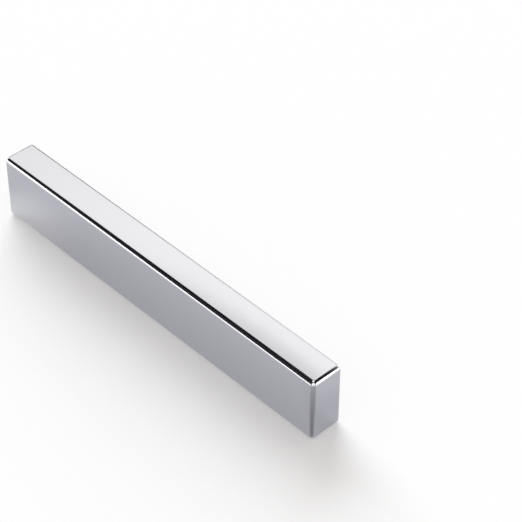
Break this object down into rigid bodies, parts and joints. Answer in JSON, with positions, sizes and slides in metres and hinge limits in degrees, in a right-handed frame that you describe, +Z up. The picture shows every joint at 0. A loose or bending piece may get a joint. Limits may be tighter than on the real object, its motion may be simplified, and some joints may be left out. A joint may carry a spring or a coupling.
{
  "type": "block magnet",
  "caption": "Slim rectangular bar magnet with softly rounded edges and a bright nickel skin; its two broad faces are the poles.",
  "frame": {"origin": "middle of the long narrow side that the bar stands on", "axes": "+X along the bar's length, +Y through its thickness from one pole face to the other, +Z up"},
  "size_m": [0.06, 0.005, 0.01],
  "materials": {
    "nickel_plate": "polished"
  },
  "bodies": {
    "root": {"block_magnet": "nickel_plate"}
  },
  "joints": []
}
